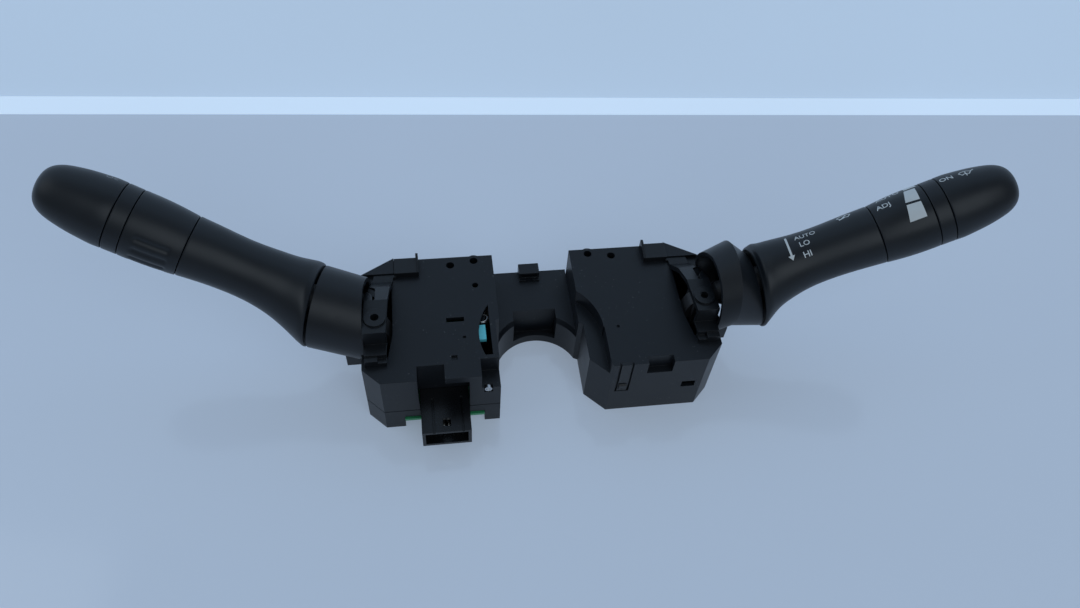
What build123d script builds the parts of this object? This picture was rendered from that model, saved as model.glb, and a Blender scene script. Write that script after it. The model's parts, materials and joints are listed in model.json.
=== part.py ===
from build123d import *
import os
from math import sin, cos, radians, sqrt

# Column combination switch: lamp stalk on the left, wiper stalk on the right.
# Frame: origin on the steering column's axis at the underside, +Z along the column
# towards the driver, +X towards the wiper stalk, +Y towards the top of the car. mm.
os.makedirs("parts", exist_ok=True)

# ---------------------------------------------------------------- driving sizes
COL_R = 21.5            # column cut-out
BRIDGE_TOP = 21.0       # saddle between the two housings
BRIDGE_REAR = 51.0
TOP = 40.0              # upper face of both housings
WALL = 2.0
BASE_T = 2.0            # bottom cover
IN_X, SIDE_X = 19.5, 84.0
FRONT_Y, REAR_Y = -22.5, 48.0
CHAMFER = 8.0           # outer front corner
RECESS_R = 29.4         # clearance for the turning ring round the column
RECESS_Z = 32.0
STRAIGHT_X = 29.8       # the recess runs straight to the front from here
SLIVER = 0.02           # parts of one body that sit in each other
RUN = 0.06              # running clearance, shaft in hole
FREE = 0.3              # gap between turning sleeves

PIVOT = (77.0, 11.0, 39.5)     # where each stalk swings, right side
RISE = 25.5                    # stalk axis above the base plane, degrees
AZ_NEUTRAL = 9.2               # both collars
AZ_LEFT, AZ_RIGHT = 15.5, 2.9  # stalks as they stand at rest

BALL_R = 31.4           # dome of the collars, round the pivot
BALL_GAP = 1.92         # from the dome to the lip of the lever's root
LIP_R = 18.9            # inner edge of that lip
LIP_FIRST = sqrt((BALL_R + BALL_GAP) ** 2 - LIP_R ** 2)   # lip's distance from the pivot
TUBE_END = 88.9         # seam between lever and turning sleeve
SLEEVE_L, RING_L, KNOB_L = 24.4, 6.8, 32.0
CORE_R, SHAFT_R = 8.0, 4.0
NECK_R = 6.0

PCB_Z0, PCB_T = 6.4, 1.6
PLATE_T = 2.2           # contact plate on the board
SLIDER_TOP = 21.0
DRIVE_S = 20.0          # drive pin inboard of the pivot
PIN_R = 1.5


# ---------------------------------------------------------------- small helpers
def box(x0, x1, y0, y1, z0, z1):
    c = ((x0 + x1) / 2, (y0 + y1) / 2, (z0 + z1) / 2)
    return Pos(*c) * Box(abs(x1 - x0), abs(y1 - y0), abs(z1 - z0))


def post(x, y, r, z0, z1):
    return Pos(x, y, (z0 + z1) / 2) * Cylinder(r, z1 - z0)


def prism(pts, z0, z1):
    """Outline in X, Y raised from z0 to z1."""
    f = make_face(Polyline(*[(x, y, z0) for x, y in pts], close=True))
    return extrude(f, amount=z1 - z0, dir=(0, 0, 1))


def prism_y(pts, y0, y1):
    """Outline in X, Z run along Y."""
    f = make_face(Polyline(*[(x, y0, z) for x, z in pts], close=True))
    return extrude(f, amount=y1 - y0, dir=(0, 1, 0))


def prism_x(pts, x0, x1):
    """Outline in Y, Z run along X."""
    f = make_face(Polyline(*[(x0, y, z) for y, z in pts], close=True))
    return extrude(f, amount=x1 - x0, dir=(1, 0, 0))


def spun(pts):
    """Outline of (along, radius) points turned about X."""
    return revolve(make_face(Polyline(*pts, close=True)), axis=Axis.X, revolution_arc=360)


def rod(s0, s1, r):
    """Cylinder along X from s0 to s1."""
    return Pos((s0 + s1) / 2, 0, 0) * Rot(0, 90, 0) * Cylinder(r, s1 - s0)


def flip(part, side):
    """Right-hand part as drawn, or its mirror image for the left."""
    return part if side > 0 else mirror(part, about=Plane.YZ)


def swing(side, az):
    """Level frame at a stalk's pivot: +X runs outward along the stalk."""
    turn = az if side > 0 else 180 - az
    return Pos(side * PIVOT[0], PIVOT[1], PIVOT[2]) * Rot(0, 0, turn)


def along(side, az):
    """Frame on the stalk's own raised axis."""
    return swing(side, az) * Rot(0, -RISE, 0)


def save(part, name):
    solids = part.solids()
    export_step(part, f"parts/{name}.step")
    print(f"{name:24s} solids {len(solids)} volume {part.volume / 1000:8.2f} cm3")


SIDES = ((-1, "left"), (1, "right"))
AZ = {-1: AZ_LEFT, 1: AZ_RIGHT}
column = post(0, 0, COL_R, -5, 80) + box(-COL_R, COL_R, -60, 0, -5, 80)

# ---------------------------------------------------------------- housing outlines
SIDE_REAR_Y = 38.5
CORNER_X = 68.0
HATCH_Y = (-9.0, 33.0)          # open strip over the pivot
LEDGE_Y = 38.5


def outline(side, inset=0.0):
    """Plan of one housing, drawn on the right, with its own front inner corner."""
    i = inset
    pts = [(IN_X + i, REAR_Y - i), (CORNER_X - 0.5 * i, REAR_Y - i),
           (SIDE_X - i, SIDE_REAR_Y - 0.6 * i), (SIDE_X - i, FRONT_Y + CHAMFER + 0.4 * i),
           (SIDE_X - CHAMFER - 0.4 * i, FRONT_Y + i)]
    if side > 0:
        pts += [(31.0 + 0.4 * i, FRONT_Y + i), (COL_R + i, -12.7 + 0.6 * i)]
    else:
        pts += [(COL_R + i, FRONT_Y + i)]
    pts += [(COL_R + i, 8.0 - i), (IN_X + i, 9.0 + 0.5 * i)]
    return pts


# plan of the bracket's strip over the pivot: inner and outer edge as (x, y)
STRIP_IN = [(68.2, 39.0), (70.5, 16.0), (72.6, -14.0)]
STRIP_OUT = [(82.4, -14.0), (82.4, -2.0), (81.2, 16.0), (78.4, 34.0), (77.6, 39.0)]


def hatch_plan():
    """Opening under the strip; its inner edge stays under the strip's."""
    (x0, y0), (x1, y1), (x2, y2) = STRIP_IN
    lo, hi = HATCH_Y
    return [(x0 + 1.4, hi), (x1 - 1.0, y1 + 2), (x1 - 0.8, y1 - 12), (x1 + 1.6, lo),
            (SIDE_X + 5, lo), (SIDE_X + 5, hi)]


SCREWS = [(24.5, 43.0), (63.0, 42.0), (73.0, -13.0)]
INNER_SCREW = {-1: (26.0, -17.0), 1: (38.5, -17.0)}
SCREW_HEAD_R, SCREW_HEAD_H, SCREW_R = 2.8, 1.5, 1.3
HOLE_IN = (28.8, 45.0)          # top holes, inner and outer pair
HOLE_OUT = (40.5, 43.0)
TOP_HOLE_R, TOP_HOLE_D = 2.0, 5.0


def screw_places(side):
    return SCREWS + [INNER_SCREW[side]]


def housing(side):
    body = prism(outline(side), BASE_T, TOP)
    room = prism(outline(side, WALL), BASE_T - 1, TOP - WALL)
    if side > 0:
        keep = RECESS_R + WALL
        walls = post(0, 0, keep, RECESS_Z - WALL, TOP) + \
            box(0, STRAIGHT_X + WALL, -40, 0, RECESS_Z - WALL, TOP)
        room -= walls
        for x, y in screw_places(side):
            room -= post(x, y, 3.2, BASE_T - 1, TOP)
        room -= box(45.2, 61.5, -30, -16.7, 29.5, TOP)
        body -= room
        body -= post(0, 0, RECESS_R, RECESS_Z, TOP + 1)
        body -= box(0, STRAIGHT_X, -40, 0, RECESS_Z, TOP + 1)
    else:
        # lowered corner beside the column, with the screw pocket in its front
        room -= box(0, 32.3, -40, -11.0, 28.0, TOP)
        for x, y in screw_places(side):
            room -= post(x, y, 3.2, BASE_T - 1, TOP)
        room -= box(CONN_X0 - 2, CONN_X1 + 2, -14.6, -13.0, CONN_TOP + FREE, TOP)
        body -= room
        body -= box(0, 30.3, -40, -13.0, 30.0, TOP + 1)
        body -= box(25.2, 29.3, -40, -20.7, 26.2, TOP)
        # window over the cancelling pawl
        body -= post(0, 0, RECESS_R + 0.4, 12, TOP + 1) & box(24.2, 33, -11.0, 19, 12, TOP + 1)
    # raised rear corner and the open strip over the stalk's pivot
    body += prism([(CORNER_X, REAR_Y), (SIDE_X, LEDGE_Y), (CORNER_X, LEDGE_Y)], TOP - 0.5, TOP + WALL)
    body -= prism(hatch_plan(), 36.0, TOP + 1)
    # blind holes on the upper face, each in its own boss
    for x, y in (HOLE_IN, HOLE_OUT):
        body += post(x, y, TOP_HOLE_R + 1.6, TOP - TOP_HOLE_D - 1.5, TOP)
        body -= post(x, y, TOP_HOLE_R, TOP - TOP_HOLE_D, TOP + 1)
    for x, y in screw_places(side):
        body -= post(x, y, SCREW_R + SLIVER, BASE_T - 1, BASE_T + 10)
    return body


CONN_X0, CONN_X1 = 36.3, 59.0
CONN_FRONT, CONN_BACK, CONN_TOP = -38.3, -12.0, 20.0
CONN_WALL = 1.5
PCB_TOP = PCB_Z0 + PCB_T

right = housing(1)
# front of the wiper housing: clip groove, notch in the top edge, slot window
right -= box(33.4, 40.2, -30, FRONT_Y + 1.2, 17.0, TOP + 1)
right -= box(47.2, 59.5, -30, -18.8, 31.5, TOP + 1)
right -= box(66.2, 72.9, -30, FRONT_Y + WALL + 1, 16.6, 21.3)
right -= post(36.4, -0.5, 0.8, TOP - 1, TOP + 1)

left = housing(-1)
# front of the lamp housing, drawn on the right and mirrored with it
left -= box(47.0, CONN_X1 + 0.5, -30, -14.6, CONN_TOP + FREE, TOP + 1)
left -= box(CONN_X0 - FREE, CONN_X1 + FREE, -30, -14.6, PCB_TOP, 36.0)
left -= box(28.9, 66.9, -30, FRONT_Y + WALL + 0.5, 0, 9.0)
left -= box(36.1, 44.5, 8.7, 11.2, TOP - 3, TOP + 1)
left -= box(40.6, 43.4, -12.8, -10.1, TOP - 1.2, TOP + 1)
left -= prism(outline(-1, -1), 14.4, 14.9) - prism(outline(-1, 0.35), 14, 15.3)
left -= post(29.2, 29.7, 1.5, TOP - 3, TOP + 1)
left -= post(36.6, -0.4, 0.8, TOP - 1, TOP + 1)

# flat cable between the two housings passes through matching slots
CABLE_Y0, CABLE_Y1, CABLE_Z0, CABLE_Z1 = 30.0, 39.0, 10.0, 10.6
cable_slot = box(10, 30, CABLE_Y0 - FREE, CABLE_Y1 + FREE, CABLE_Z0 - FREE, CABLE_Z1 + FREE)
right -= cable_slot
left -= cable_slot
right -= column
left = mirror(left, about=Plane.YZ) - column
save(left, "left_housing")
save(right, "right_housing")


# ---------------------------------------------------------------- bottom covers
BEAR_R, BEAR_PIN_R = 4.2, 2.2
BEAR_TOP = PIVOT[2] - 10.8
PAWL_XY = (27.2, 12.6)
PAWL_PIN_R = 1.4
PCB_FEET = [(40, 26), (62, 26), (40, -8), (66, -10)]


def base_plate(side):
    plate = prism(outline(side), 0, BASE_T)
    if side < 0:
        plate -= box(28.9, 66.9, -30, -18.0, -1, BASE_T + 1)
        plate += post(*PAWL_XY, 2.4, BASE_T - 0.5, 29.5)
        plate += post(*PAWL_XY, PAWL_PIN_R, 29.0, 36.5)
        for x, y in PCB_FEET:
            plate += post(x, y, 2.0, BASE_T - 0.5, PCB_Z0)
    plate += post(PIVOT[0], PIVOT[1], BEAR_R, BASE_T - 0.5, BEAR_TOP)
    plate -= post(PIVOT[0], PIVOT[1], BEAR_PIN_R + RUN, 21.8, BEAR_TOP + 1)
    for x, y in screw_places(side):
        plate -= post(x, y, SCREW_HEAD_R + 0.1, -1, SCREW_HEAD_H)
        plate -= post(x, y, SCREW_R + SLIVER, -1, BASE_T + 1)
    return flip(plate, side) - column


save(base_plate(-1), "left_base_plate")
save(base_plate(1), "right_base_plate")


# ---------------------------------------------------------------- column bridge
POCKET_X, POCKET_Y = 10.7, 26.0
bridge = box(-IN_X, IN_X, 0, BRIDGE_REAR, 0, BRIDGE_TOP)
bridge -= box(-POCKET_X, POCKET_X, 0, POCKET_Y, 3.0, BRIDGE_TOP + 1)
rim = post(0, 0, COL_R + 2.2, 0, 5.0) & box(-POCKET_X, POCKET_X, 0, 40, 0, 5.0)
bridge += rim
bridge -= box(-17.3, 17.3, 28.5, 48.8, -1, BRIDGE_TOP - 2.2)
bridge -= box(-30, 30, CABLE_Y0 - FREE, CABLE_Y1 + FREE, CABLE_Z0 - FREE, CABLE_Z1 + FREE)
for x in (-8, 8):                      # ribs that carry the flat cable
    bridge += box(x - 0.8, x + 0.8, 28.5, 48.8, 2, CABLE_Z0)
bridge -= post(0, 0, COL_R, -1, BRIDGE_TOP + 1)
top_lip = Pos(0, 0, BRIDGE_TOP) * Cone(COL_R + 0.01, COL_R + 1.5, 2.4,
                                       align=(Align.CENTER, Align.CENTER, Align.MAX))
bridge -= top_lip
save(bridge, "column_bridge")

CLIP_W = 5.2
clip = box(-CLIP_W, CLIP_W, 46.2, BRIDGE_REAR, BRIDGE_TOP, 25.6)
clip += box(-CLIP_W, CLIP_W, BRIDGE_REAR, BRIDGE_REAR + 1.6, 12.0, 25.6)
clip -= box(-CLIP_W + 1.2, CLIP_W - 1.2, 45, 49.6, BRIDGE_TOP + 1.2, 24.4)
clip += box(-CLIP_W, -1.6, 44.4, 46.3, BRIDGE_TOP, 22.0)
clip += box(1.6, CLIP_W, 44.4, 46.3, BRIDGE_TOP, 22.0)
save(clip, "bridge_clip")

cable = box(-25.5, 25.5, CABLE_Y0, CABLE_Y1, CABLE_Z0, CABLE_Z1)
save(cable, "bridge_flat_cable")


# ---------------------------------------------------------------- pivot brackets
ARCH_TOP, ARCH_UNDER = 54.0, 51.5
BOSS = (76.6, 3.6)
BOSS_R, BOSS_HOLE_R = 5.0, 1.9
PIN_TOP = 53.2
arch_line = [(38.4, TOP), (38.4, 41.3), (34.0, 41.3), (24.5, 49.8), (14.0, ARCH_TOP),
             (-4.4, ARCH_TOP), (-4.4, 45.2), (-10.5, 45.2), (-10.5, 42.6), (-13.2, 42.6),
             (-13.2, TOP), (-9.1, TOP), (-9.1, 43.4), (-2.9, 43.4), (-2.9, ARCH_UNDER),
             (13.0, ARCH_UNDER), (22.8, 47.8), (32.0, TOP)]


def bracket(side):
    b = prism_x(arch_line, 66, 86) & prism(STRIP_IN + STRIP_OUT, TOP - 5, ARCH_TOP + 5)
    b += post(*BOSS, BOSS_R, ARCH_UNDER, ARCH_TOP + 1.0)
    b -= post(*BOSS, BOSS_HOLE_R, ARCH_UNDER - 1, ARCH_TOP + 2)
    b -= post(PIVOT[0], PIVOT[1], 1.94 + RUN, ARCH_UNDER - 1, PIN_TOP + 0.2)
    # half-moon dent beside the boss
    b -= post(80.5, 19.0, 6.0, 49.0, ARCH_TOP + 2) - post(85.5, 15.0, 8.0, 40, 60) - \
        box(60, 76.5, 0, 40, 40, 60)
    # raised tab with its fin on the housing's rear edge
    tab = box(56.8, 67.8, 37.4, 46.6, TOP, 43.2)
    tab += prism_x([(48, 40), (48, 44.9), (46, 44.9), (37.4, 43.2), (37.4, 40)], 56.0, 57.2)
    tab += box(67.0, 69.2, 36.6, 38.4, TOP, 41.3)
    b += tab
    # catch over the housing's front outer edge
    b += box(76.5, 82.4, -13.2, -9.4, TOP, 44.2)
    return flip(b, side)


for side, name in SIDES:
    save(bracket(side), f"{name}_pivot_bracket")


# ---------------------------------------------------------------- collars
COLLAR_WALL = 2.0
PULL, PUSH = 5.0, 4.0
LUG_TOP = 32.0
SWING = {-1: (-12.6, 0.0), 1: (-5.4, 16.2)}    # travel from rest, towards the top positive
# rings of each collar: centre, turn and rise of its plane's normal, radius
COLLAR_RINGS = {-1: [((78.5, 11.8, 41.0), 12.0, 25.5, 18.8), ((102.7, 18.0, 46.7), 15.5, 7.7, 19.4)],
                1: [((80.2, 11.2, 45.8), 0.0, 12.0, 19.2), ((90.7, 12.0, 51.9), 0.0, 0.0, 20.4),
                    ((104.1, 12.4, 45.3), 2.9, 11.5, 18.2)]}
DOME_RISE = {-1: 15.0, 1: 13.0}
DOME_R = {-1: 16.4, 1: 15.5}


def rings(side, less, longer):
    """Solid through a collar's rings, smaller by less all round, first one moved in by longer."""
    faces = []
    for k, ((x, y, z), turn, rise, r) in enumerate(COLLAR_RINGS[side]):
        at = Pos(side * x, y, z) * Rot(0, 0, turn if side > 0 else 180 - turn) * Rot(0, -rise, 0)
        if k == 0:
            at = at * Pos(-longer, 0, 0)
        elif k == len(COLLAR_RINGS[side]) - 1:
            at = at * Pos(-less, 0, 0)
        faces.append(at * (Plane(origin=(0, 0, 0), x_dir=(0, 1, 0), z_dir=(1, 0, 0)) * Circle(r - less)))
    return loft(faces, ruled=True)


def collar(side):
    turn = AZ[side] if side > 0 else 180 - AZ[side]
    pivot = Pos(side * PIVOT[0], PIVOT[1], PIVOT[2])
    nose = pivot * Rot(0, 0, turn) * Rot(0, -DOME_RISE[side], 0)
    solid = rings(side, 0, 0) + (pivot * Sphere(BALL_R) & nose * rod(18, 40, DOME_R[side]))
    room = rings(side, COLLAR_WALL, 1) + \
        (pivot * Sphere(BALL_R - COLLAR_WALL) & nose * rod(10, 40, DOME_R[side] - COLLAR_WALL))
    out = side * SIDE_X
    place = along(side, AZ_NEUTRAL)
    flange = (solid & box(out, out + side * COLLAR_WALL, -60, 80, -20, TOP)) - place * rod(0, 20, 9.5)
    edge = STRIP_OUT + [(76.0, 60.0), (0, 60), (0, -60), (82.4, -60)]
    inside = prism([(side * x, y) for x, y in edge], TOP - 0.5, 90)
    part = (solid - room) - box(-out, out, -60, 80, -20, TOP) - inside + flange
    # slot in the dome for the stalk's neck, as long as the stalk swings
    low, high = (AZ[side] - AZ_NEUTRAL + a for a in SWING[side])
    lo = BALL_R * sin(radians(low)) - NECK_R - 1.0
    hi = BALL_R * sin(radians(high)) + NECK_R + 1.0
    if side < 0:
        lo, hi = -hi, -lo
    half = BALL_R * sin(radians(PULL)) + NECK_R + 1.0
    slot = Plane(origin=(20, (lo + hi) / 2, 0), x_dir=(0, 1, 0), z_dir=(1, 0, 0)) * \
        RectangleRounded(hi - lo, 2 * half, min(half, (hi - lo) / 2) - 0.5)
    part -= place * extrude(slot, amount=20, dir=(1, 0, 0))
    # lug under the collar, seated on the housing's wall
    part += box(out, out + side * 8, -0.5, 5.5, 23.5, LUG_TOP) - room
    return max(part.solids(), key=lambda piece: piece.volume)


for side, name in SIDES:
    save(collar(side), f"{name}_collar")


# ---------------------------------------------------------------- carriers (yokes)
YOKE_X, YOKE_IN, YOKE_OUT = 3.0, 3.9, 5.6
YOKE_TOP, YOKE_LOW = 9.2, -10.5


def yoke():
    c = box(-YOKE_X, YOKE_X, -YOKE_OUT, YOKE_OUT, YOKE_LOW, YOKE_TOP)
    c -= box(-10, 10, -YOKE_IN, YOKE_IN, YOKE_LOW + 2.0, YOKE_TOP - 2.2)
    c -= box(-10, -2.4, -YOKE_IN, YOKE_IN, YOKE_LOW - 1, YOKE_LOW + 3)
    c += post(0, 0, 1.94, YOKE_TOP - 0.5, PIN_TOP - PIVOT[2])
    c += post(0, 0, BEAR_PIN_R, YOKE_LOW - 6.0, YOKE_LOW + 0.5)
    c -= Rot(90, 0, 0) * Cylinder(PIN_R + SLIVER, 30)
    return c


def cross_pin():
    return Rot(90, 0, 0) * Cylinder(PIN_R, 2 * YOKE_OUT)


CARRIER = {-1: "turn_carrier", 1: "wiper_carrier"}
for side, name in SIDES:
    level = swing(side, AZ[side])
    save(level * yoke(), CARRIER[side])
    save(level * cross_pin(), f"{name}_cross_pin")


# ---------------------------------------------------------------- stalk cores
HUB_R, HUB_W = 4.8, 3.5
DETENT_R = 29.3                    # inner face of the detent track, round the pivot
PLUNGER_TIP = DETENT_R - 1.3
TONGUE_Z0, TONGUE_Z1, TONGUE_END = -16.0, -10.5, PLUNGER_TIP - 2.0
PLUNGER_Z = (TONGUE_Z0 + TONGUE_Z1) / 2
PLUNGER_R = 1.5
PLUNGER_BACK, BORE_BACK = PLUNGER_TIP - 8.5, PLUNGER_TIP - 14.0
arm_line = [(-2.0, -4.4), (-3.6, -8.0), (-6.6, -12.0), (-6.6, TONGUE_Z0),
            (-TONGUE_END, TONGUE_Z0), (-TONGUE_END, TONGUE_Z1), (-11.5, TONGUE_Z1),
            (-7.0, -5.0), (-4.6, 1.4), (0, 2.0)]


def core(side):
    level, up = swing(side, AZ[side]), along(side, AZ[side])
    flat = Rot(90, 0, 0) * Cylinder(HUB_R, 2 * HUB_W) + prism_y(arm_line, -HUB_W, HUB_W)
    flat += post(-DRIVE_S, 0, PIN_R, TONGUE_Z0 - 4.5, TONGUE_Z0 + 0.5)
    flat -= Pos(0, 0, PLUNGER_Z) * rod(-TONGUE_END - 1, -BORE_BACK, PLUNGER_R + RUN)
    stem = box(0, 10, -HUB_W, HUB_W, -3.0, 3.0) & rod(0, 10, 3.9)
    stem += spun([(8, 0), (8, 3.4), (12, NECK_R), (TUBE_END - 4.4, NECK_R),
                  (TUBE_END - 4.0, CORE_R), (TUBE_END + SLEEVE_L + RING_L, CORE_R),
                  (TUBE_END + SLEEVE_L + RING_L, SHAFT_R + RUN), (TUBE_END + 5, SHAFT_R + RUN),
                  (TUBE_END + 5, 0)])
    part = level * flat + up * stem
    return part - level * (Rot(90, 0, 0) * Cylinder(PIN_R + RUN, 30))


def plunger(side):
    tip = PLUNGER_R
    p = spun([(-PLUNGER_TIP, 0), (-PLUNGER_TIP + 0.35, 0.85), (-PLUNGER_TIP + tip, PLUNGER_R),
              (-PLUNGER_BACK, PLUNGER_R), (-PLUNGER_BACK, 1.0), (-PLUNGER_TIP + 3.0, 1.0),
              (-PLUNGER_TIP + 3.0, 0)])
    return swing(side, AZ[side]) * Pos(0, 0, PLUNGER_Z) * p


def coil(r, wire, length, turns):
    path = Helix(pitch=length / turns, height=length, radius=r)
    start = path @ 0
    sec = Plane(origin=start, z_dir=path % 0) * Circle(wire)
    return sweep(sec, path=path)


def plunger_spring(side):
    turns, length = 6, -PLUNGER_TIP + 3.0 + 1.4 + BORE_BACK
    c = coil(0.72, 0.2, abs(length) - 0.5, turns)
    place = swing(side, AZ[side]) * Pos(-BORE_BACK - 0.22, 0, PLUNGER_Z) * Rot(0, -90, 0)
    return place * c


DETENT = {-1: "turn", 1: "wiper"}
for side, name in SIDES:
    save(core(side), f"{name}_stalk_core")
    save(plunger(side), f"{DETENT[side]}_detent_plunger")
    save(plunger_spring(side), f"{DETENT[side]}_detent_spring")


# ---------------------------------------------------------------- stalk skins
# rings of a lever: distance along its axis from the first, middle above the axis, tilt, radius
LEVER_RINGS = {
    -1: [(1.24, -5.34, 17.8, 19.4), (2.1, -5.05, 17.0, 19.75), (5.0, -3.9, 12.5, 18.95),
         (8.2, -2.7, 7.0, 17.75), (12.2, -1.6, 2.5, 16.45), (16.2, -0.9, 0.6, 15.35),
         (24.2, 0.2, 0.0, 13.95), (32.2, 0.6, 0.0, 13.15), (40.0, 0.7, 0.0, 12.95),
         (50.0, 0.75, 0.0, 13.3)],
    1: [(1.0, -6.0, 15.0, 19.4), (1.8, -5.6, 14.0, 19.75), (4.6, -3.2, 10.0, 18.7),
        (8.2, -1.2, 5.5, 17.0), (12.2, 0.2, 2.2, 15.75), (16.2, 0.9, 0.5, 14.9),
        (24.2, 1.45, 0.0, 13.65), (32.2, 1.5, 0.0, 13.1), (40.0, 1.4, 0.0, 13.1),
        (50.0, 1.05, 0.0, 13.5)]}
LEVER_WALL = 2.4
SEAM_R, GRIP_R = 14.0, 15.1      # stalk radius at the lever's seam, and at the grip


def ring_loft(side, stations):
    """Solid through circles given as (along, above the axis, tilt, radius)."""
    faces = []
    for s, up, tilt, r in stations:
        at = along(side, AZ[side]) * Pos(s, 0, up) * Rot(0, tilt, 0)
        faces.append(at * (Plane(origin=(0, 0, 0), x_dir=(0, 1, 0), z_dir=(1, 0, 0)) * Circle(r)))
    return loft(faces, ruled=True)


def lever(side):
    first = LIP_FIRST
    out = [(first + d, up, tilt, r) for d, up, tilt, r in LEVER_RINGS[side]] + [(TUBE_END, 0.2, 0, SEAM_R)]
    lip, _, deep = LEVER_RINGS[side][:3]
    inn = [(first + lip[0] - 0.4, lip[1] - 0.1, lip[2], LIP_R),
           (first + deep[0] + 0.5, deep[1] + 0.3, deep[2] - 1.0, deep[3] - LEVER_WALL)]
    inn += [(s, up, tilt, r - LEVER_WALL) for s, up, tilt, r in (out[4], out[6], out[8])]
    inn.append((TUBE_END - 4.0, 0.3, 0, 10.6))
    bore = rod(TUBE_END - 6, TUBE_END + 1, CORE_R + SLIVER)
    return ring_loft(side, out) - ring_loft(side, inn) - along(side, AZ[side]) * bore


def sleeve(side):
    a, b = TUBE_END + FREE, TUBE_END + SLEEVE_L - FREE / 2
    p = spun([(a, CORE_R + RUN), (b, CORE_R + RUN), (b, GRIP_R),
              (b - 7, GRIP_R + 0.1), (b - 13, GRIP_R - 0.1), (b - 19, GRIP_R - 0.55), (a, SEAM_R + 0.05)])
    if side < 0:                       # grip grooves of the fog-lamp ring
        for k in range(5):
            turn = Rot(-57 - 21 * k, 0, 0)
            p -= turn * (Pos((a + b) / 2, 0, GRIP_R + 0.5) * Rot(0, 90, 0) * Cylinder(1.0, 16))
    return along(side, AZ[side]) * p


def ring(side):
    a = TUBE_END + SLEEVE_L + FREE / 2
    b = TUBE_END + SLEEVE_L + RING_L - FREE / 2
    return along(side, AZ[side]) * spun([(a, CORE_R + SLIVER), (b, CORE_R + SLIVER),
                                         (b, GRIP_R), (a, GRIP_R)])


KNOB_LINE = [(0.0, GRIP_R + 0.05), (0.12, GRIP_R + 0.1), (0.24, 14.85), (0.37, 14.4), (0.5, 13.8),
             (0.625, 13.0), (0.75, 12.0), (0.86, 10.4), (0.94, 8.0), (0.985, 4.8)]


def knob(side):
    a = TUBE_END + SLEEVE_L + RING_L + FREE / 2
    pts = [(a + KNOB_L * f, r) for f, r in KNOB_LINE]
    end = (a + KNOB_L, 0)
    face = make_face([Polyline((TUBE_END + 6, 0), (TUBE_END + 6, SHAFT_R), (a, SHAFT_R), pts[0]),
                      Spline(*pts, end, tangents=((1, 0.02), (0, -1))),
                      Line(end, (TUBE_END + 6, 0))])
    return along(side, AZ[side]) * revolve(face, axis=Axis.X, revolution_arc=360)


SKIN = {-1: ("left_lever", "fog_lamp_sleeve", "left_index_ring", "lamp_knob"),
        1: ("right_lever", "rain_adjust_sleeve", "right_index_ring", "rear_wiper_knob")}
for side, name in SIDES:
    for maker, node in zip((lever, sleeve, ring, knob), SKIN[side]):
        save(maker(side), node)


# ---------------------------------------------------------------- board and contacts
board = prism([(70, -10), (70, 34), (33, 34), (33, -10), (29, -10), (29, -23.2), (66.8, -23.2),
               (66.8, -10)], PCB_Z0, PCB_TOP)
for x, y in screw_places(-1):
    board -= post(x, y, 3.4, 0, 20)
save(mirror(board, about=Plane.YZ), "circuit_board")

conn = box(CONN_X0, CONN_X1, CONN_FRONT, CONN_BACK, PCB_TOP, CONN_TOP)
conn -= box(CONN_X0 + CONN_WALL, CONN_X1 - CONN_WALL, CONN_FRONT - 1, -24.0,
            PCB_TOP + CONN_WALL, CONN_TOP - CONN_WALL)
conn -= box(45.6, 49.2, -35.2, -31.2, CONN_TOP - 3, CONN_TOP + 1)
for x in (40.0, 53.4):
    conn -= box(x - 0.5, x + 0.5, CONN_FRONT - 1, -20, CONN_TOP - 0.8, CONN_TOP + 1)
save(mirror(conn, about=Plane.YZ), "connector_housing")

pins = []
for row in (0, 1):
    for i in range(8):
        x = CONN_X0 + 4.0 + i * 2.1
        z = PCB_TOP + 3.6 + 4.2 * row
        pins.append(box(x - 0.32, x + 0.32, -33.0, -24.0, z - 0.32, z + 0.32))
save(mirror(Compound(pins), about=Plane.YZ), "connector_pins")


def contact_plate(side):
    x, y = PIVOT[0] - DRIVE_S * cos(radians(AZ_NEUTRAL)), PIVOT[1] - DRIVE_S * sin(radians(AZ_NEUTRAL))
    z0 = PCB_TOP if side < 0 else BASE_T
    p = box(x - 8, x + 8, y - 13, y + 13, z0, PCB_TOP + PLATE_T)
    for k in range(4):
        p -= box(x - 6 + 3.4 * k, x - 4.4 + 3.4 * k, y - 11, y + 11,
                 PCB_TOP + PLATE_T - 0.3, PCB_TOP + PLATE_T + 1)
    for s in (-1, 1):                  # rails that guide the slider
        p += box(x + s * 6.4, x + s * 8, y - 13, y + 13, PCB_TOP, PCB_TOP + PLATE_T + 4)
    return flip(p, side)


SLOT_PLAY = 1.1           # the drive pin also tips and swings in its slot


def slider(side):
    az = radians(AZ_NEUTRAL)
    x, y0 = PIVOT[0] - DRIVE_S * cos(az), PIVOT[1] - DRIVE_S * sin(az)
    y = PIVOT[1] - DRIVE_S * sin(radians(AZ[side]))
    z0 = PCB_TOP + PLATE_T + 0.1
    s = box(x - 6.2, x + 6.2, y - 5, y + 5, z0, SLIDER_TOP)
    s -= box(x - 4.6, x + 4.6, y - PIN_R - SLOT_PLAY, y + PIN_R + SLOT_PLAY, z0 + 3.5, SLIDER_TOP + 1)
    return flip(s, side)


SWITCH = {-1: "turn", 1: "wiper"}
for side, name in SIDES:
    save(contact_plate(side), f"{SWITCH[side]}_contact_plate")
    save(slider(side), f"{SWITCH[side]}_contact_slider")

# curved detent tracks, hung from the roof of each housing
STEP = {-1: 6.3, 1: 4.5}


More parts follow.
